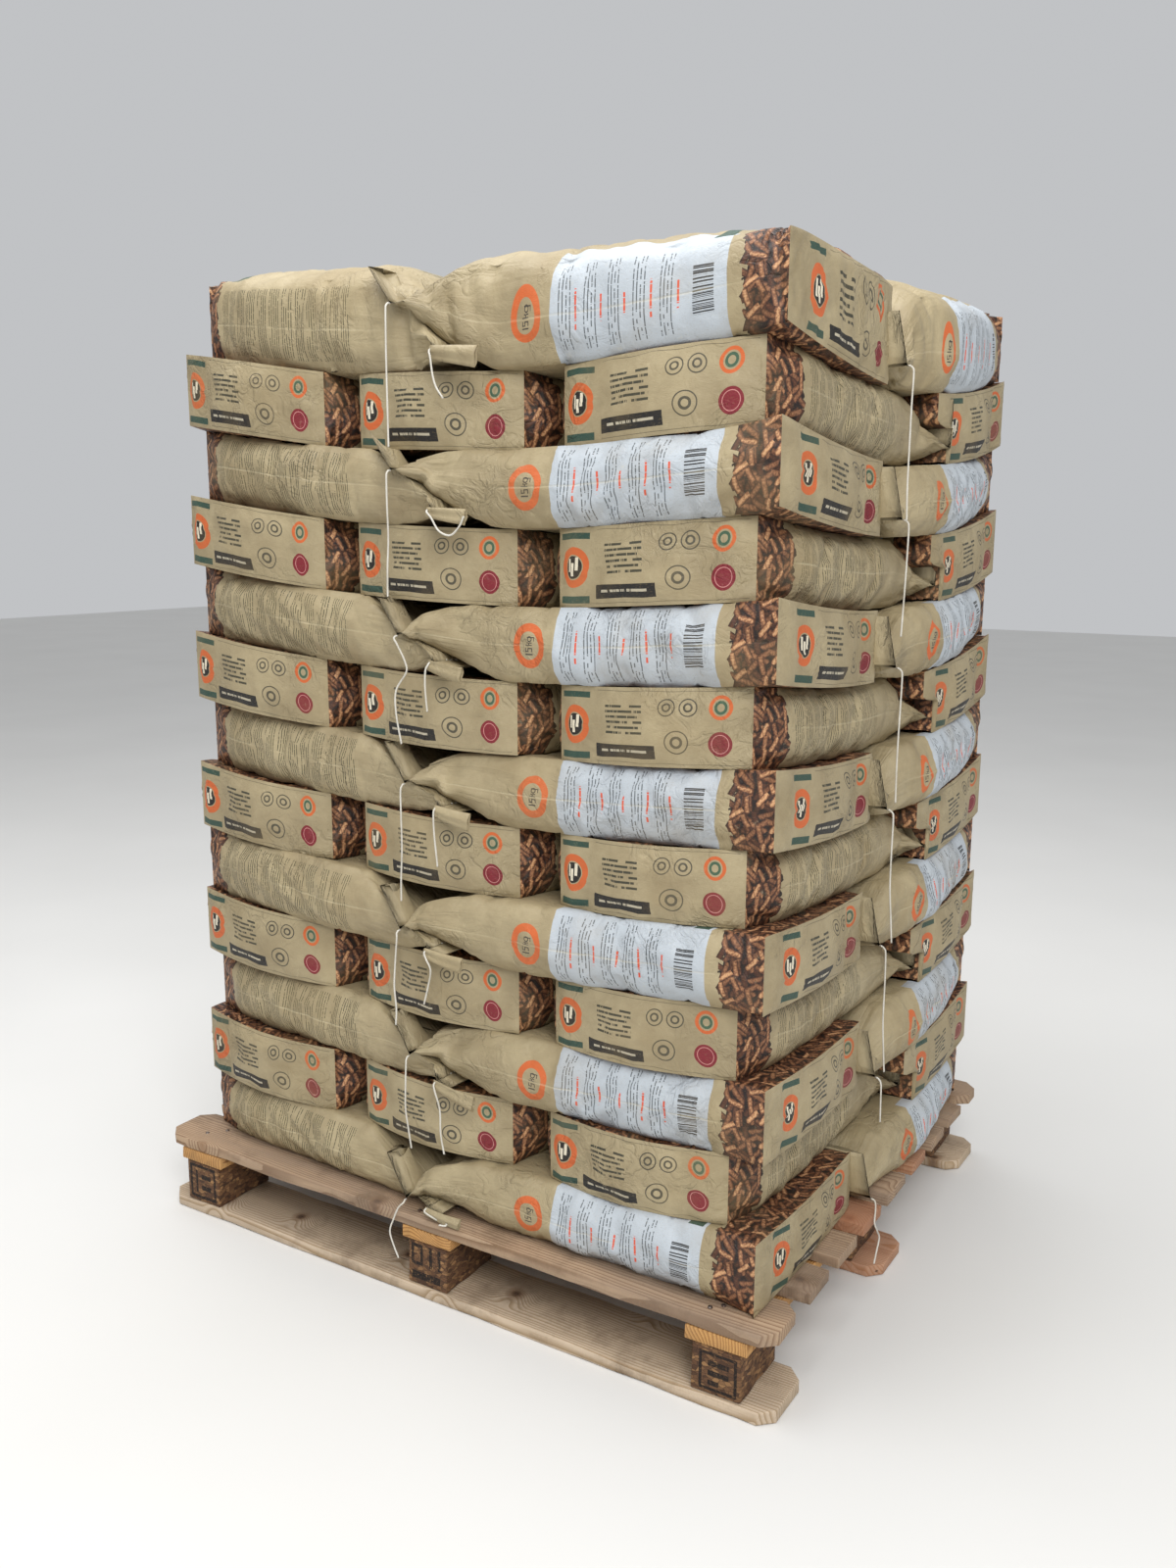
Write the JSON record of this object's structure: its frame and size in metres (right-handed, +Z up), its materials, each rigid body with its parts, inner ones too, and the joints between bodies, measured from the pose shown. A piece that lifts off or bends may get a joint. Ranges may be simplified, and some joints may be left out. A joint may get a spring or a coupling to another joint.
{
  "type": "pallet of sacks",
  "caption": "Four-way wooden block pallet loaded with interlocked layers of filled paper sacks, with thread tails hanging from their sewn ends.",
  "frame": {"origin": "middle of the pallet's underside", "axes": "+Z up, +X along the pallet's long side, +Y along its short side, away from the face with the two long sacks of the top layer"},
  "size_m": [1.2193, 1.0162, 1.6364],
  "materials": {
    "kraft_paper": "matt, crumpled",
    "weathered_pine": "rough sawn, greyed",
    "sawn_pine": "rough sawn",
    "resinous_pine": "rough sawn, resin stained",
    "pressed_chipboard": "coarse pressed chips",
    "cotton_thread": "twisted, matt"
  },
  "bodies": {
    "root": {"deck_board_1": "weathered_pine", "deck_board_2": "weathered_pine", "deck_board_3": "weathered_pine", "deck_board_4": "weathered_pine", "deck_board_5": "weathered_pine", "deck_board_6": "weathered_pine", "deck_board_7": "weathered_pine", "deck_board_8": "weathered_pine", "deck_board_9": "weathered_pine", "stringer_left": "resinous_pine", "stringer_middle": "resinous_pine", "stringer_right": "resinous_pine", "block_front_left": "pressed_chipboard", "block_front_middle": "pressed_chipboard", "block_front_right": "pressed_chipboard", "block_centre_left": "pressed_chipboard", "block_centre_middle": "pressed_chipboard", "block_centre_right": "pressed_chipboard", "block_back_left": "pressed_chipboard", "block_back_middle": "pressed_chipboard", "block_back_right": "pressed_chipboard", "bottom_board_front": "sawn_pine", "bottom_board_middle": "sawn_pine", "bottom_board_back": "sawn_pine", "sack_layer_01": "kraft_paper", "sack_layer_02": "kraft_paper", "sack_layer_03": "kraft_paper", "sack_layer_04": "kraft_paper", "sack_layer_05": "kraft_paper", "sack_layer_06": "kraft_paper", "sack_layer_07": "kraft_paper", "sack_layer_08": "kraft_paper", "sack_layer_09": "kraft_paper", "sack_layer_10": "kraft_paper", "sack_layer_11": "kraft_paper", "sack_layer_12": "kraft_paper", "sack_layer_13": "kraft_paper", "thread_front_01": "cotton_thread", "thread_front_03": "cotton_thread", "thread_front_05": "cotton_thread", "thread_front_07": "cotton_thread", "thread_front_09": "cotton_thread", "thread_front_11": "cotton_thread", "thread_front_13": "cotton_thread", "thread_left_01": "cotton_thread", "thread_left_03": "cotton_thread", "thread_left_05": "cotton_thread", "thread_left_07": "cotton_thread", "thread_left_09": "cotton_thread", "thread_left_11": "cotton_thread", "thread_left_13": "cotton_thread", "thread_right_01": "cotton_thread", "thread_right_03": "cotton_thread", "thread_right_05": "cotton_thread", "thread_right_07": "cotton_thread", "thread_right_09": "cotton_thread", "thread_right_11": "cotton_thread", "thread_right_13": "cotton_thread"}
  },
  "joints": []
}
